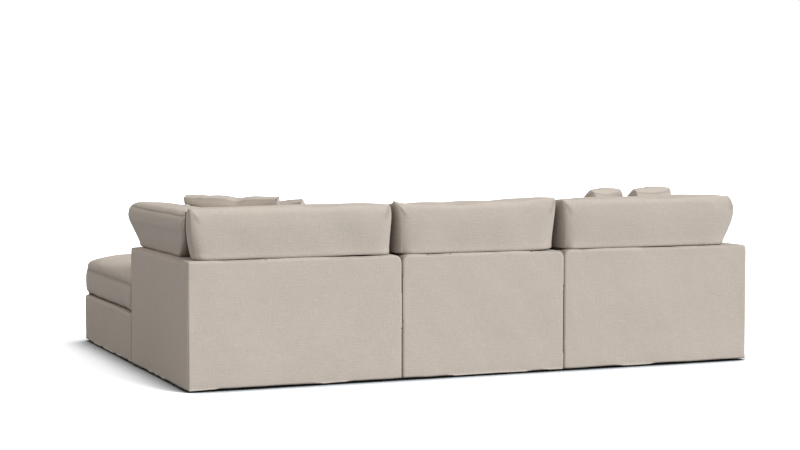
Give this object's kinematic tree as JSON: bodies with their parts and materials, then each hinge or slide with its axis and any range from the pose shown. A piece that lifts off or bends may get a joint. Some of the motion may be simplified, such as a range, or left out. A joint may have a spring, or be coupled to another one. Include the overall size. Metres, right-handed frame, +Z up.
{
  "type": "sectional sofa with chaise",
  "caption": "Modular sectional sofa in greige linen-look fabric: a chaise made by an ottoman at one end, low square arms, loose boxed seat and back cushions, throw pillows.",
  "frame": {"origin": "middle of the footprint of the whole sofa, ottoman included, on the floor", "axes": "+X along the row of sections, towards the chaise end; +Y towards the back of the sofa, so the seats face -Y; +Z up"},
  "size_m": [3.079, 2.187, 0.9241],
  "materials": {
    "cover_fabric": "matte plain-weave linen look, greige",
    "cushion_fabric": "matte plain-weave linen look, greige",
    "pillow_fabric": "matte plain-weave linen look, greige",
    "deck_padding": "needled fibre felt",
    "dust_cloth": "thin black non-woven cloth",
    "frame_wood": "bare softwood and plywood",
    "spring_steel": "tempered wire, dull",
    "connector_steel": "zinc plated strip",
    "glide_plastic": "black nylon"
  },
  "bodies": {
    "middle": {"middle_back_cover": "cover_fabric", "middle_base_cover": "cover_fabric", "middle_base_frame": "frame_wood", "middle_connector_bar": "connector_steel", "middle_deck_pad": "deck_padding", "middle_dust_cover": "dust_cloth", "middle_glide_1": "glide_plastic", "middle_glide_2": "glide_plastic", "middle_glide_3": "glide_plastic", "middle_glide_4": "glide_plastic", "middle_spring_unit": "spring_steel", "middle_wall_frame": "frame_wood"},
    "chaise_section": {"chaise_back_cover": "cover_fabric", "chaise_base_cover": "cover_fabric", "chaise_base_frame": "frame_wood", "chaise_connector_keeper": "connector_steel", "chaise_deck_pad": "deck_padding", "chaise_dust_cover": "dust_cloth", "chaise_glide_1": "glide_plastic", "chaise_glide_2": "glide_plastic", "chaise_glide_3": "glide_plastic", "chaise_glide_4": "glide_plastic", "chaise_side_cover": "cover_fabric", "chaise_spring_unit": "spring_steel", "chaise_wall_frame": "frame_wood"},
    "end_section": {"end_arm_cover": "cover_fabric", "end_back_cover": "cover_fabric", "end_base_cover": "cover_fabric", "end_base_frame": "frame_wood", "end_connector_keeper": "connector_steel", "end_deck_pad": "deck_padding", "end_dust_cover": "dust_cloth", "end_glide_1": "glide_plastic", "end_glide_2": "glide_plastic", "end_glide_3": "glide_plastic", "end_glide_4": "glide_plastic", "end_spring_unit": "spring_steel", "end_wall_frame": "frame_wood"},
    "ottoman": {"ottoman_base_cover": "cover_fabric", "ottoman_base_frame": "frame_wood", "ottoman_deck_pad": "deck_padding", "ottoman_dust_cover": "dust_cloth", "ottoman_glide_1": "glide_plastic", "ottoman_glide_2": "glide_plastic", "ottoman_glide_3": "glide_plastic", "ottoman_glide_4": "glide_plastic", "ottoman_spring_unit": "spring_steel"},
    "middle_seat_cushion": {"middle_seat_cushion": "cushion_fabric"},
    "middle_back_cushion": {"middle_back_cushion": "cushion_fabric"},
    "chaise_seat_cushion": {"chaise_seat_cushion": "cushion_fabric"},
    "chaise_back_cushion": {"chaise_back_cushion": "cushion_fabric"},
    "chaise_side_cushion": {"chaise_side_cushion": "cushion_fabric"},
    "chaise_corner_pillow": {"chaise_corner_pillow": "pillow_fabric"},
    "chaise_front_pillow": {"chaise_front_pillow": "pillow_fabric"},
    "end_seat_cushion": {"end_seat_cushion": "cushion_fabric"},
    "end_back_cushion": {"end_back_cushion": "cushion_fabric"},
    "end_corner_pillow": {"end_corner_pillow": "pillow_fabric"},
    "end_front_pillow": {"end_front_pillow": "pillow_fabric"},
    "ottoman_cushion": {"ottoman_cushion": "cushion_fabric"}
  },
  "joints": [
    {"name": "chaise_section_slide", "type": "slide", "parent": "middle", "child": "chaise_section", "axis": [1, 0, 0], "range_m": [0, 0.3]},
    {"name": "end_section_slide", "type": "slide", "parent": "middle", "child": "end_section", "axis": [-1, 0, 0], "range_m": [0, 0.3]},
    {"name": "ottoman_slide", "type": "slide", "parent": "chaise_section", "child": "ottoman", "axis": [0, -1, 0], "range_m": [0, 0.6]},
    {"name": "middle_seat_cushion_lift", "type": "slide", "parent": "middle", "child": "middle_seat_cushion", "axis": [0, 0, 1], "range_m": [0, 0.36]},
    {"name": "chaise_seat_cushion_lift", "type": "slide", "parent": "chaise_section", "child": "chaise_seat_cushion", "axis": [0, 0, 1], "range_m": [0, 0.1]},
    {"name": "end_seat_cushion_lift", "type": "slide", "parent": "end_section", "child": "end_seat_cushion", "axis": [0, 0, 1], "range_m": [0, 0.36]},
    {"name": "ottoman_cushion_lift", "type": "slide", "parent": "ottoman", "child": "ottoman_cushion", "axis": [0, 0, 1], "range_m": [0, 0.12]},
    {"name": "middle_back_cushion_lift", "type": "slide", "parent": "middle_seat_cushion", "child": "middle_back_cushion", "axis": [0, 0, 1], "range_m": [0, 0.16]},
    {"name": "chaise_back_cushion_lift", "type": "slide", "parent": "chaise_seat_cushion", "child": "chaise_back_cushion", "axis": [0, 0, 1], "range_m": [0, 0.16]},
    {"name": "end_back_cushion_lift", "type": "slide", "parent": "end_seat_cushion", "child": "end_back_cushion", "axis": [0, 0, 1], "range_m": [0, 0.16]},
    {"name": "chaise_side_cushion_lift", "type": "slide", "parent": "chaise_back_cushion", "child": "chaise_side_cushion", "axis": [0, 0, 1], "range_m": [0, 0.16]},
    {"name": "chaise_corner_pillow_lift", "type": "slide", "parent": "chaise_side_cushion", "child": "chaise_corner_pillow", "axis": [0, 0, 1], "range_m": [0, 0.12]},
    {"name": "chaise_front_pillow_lift", "type": "slide", "parent": "chaise_corner_pillow", "child": "chaise_front_pillow", "axis": [0, 0, 1], "range_m": [0, 0.12]},
    {"name": "end_corner_pillow_lift", "type": "slide", "parent": "end_back_cushion", "child": "end_corner_pillow", "axis": [0, 0, 1], "range_m": [0, 0.12]},
    {"name": "end_front_pillow_lift", "type": "slide", "parent": "end_corner_pillow", "child": "end_front_pillow", "axis": [0, 0, 1], "range_m": [0, 0.12]}
  ]
}
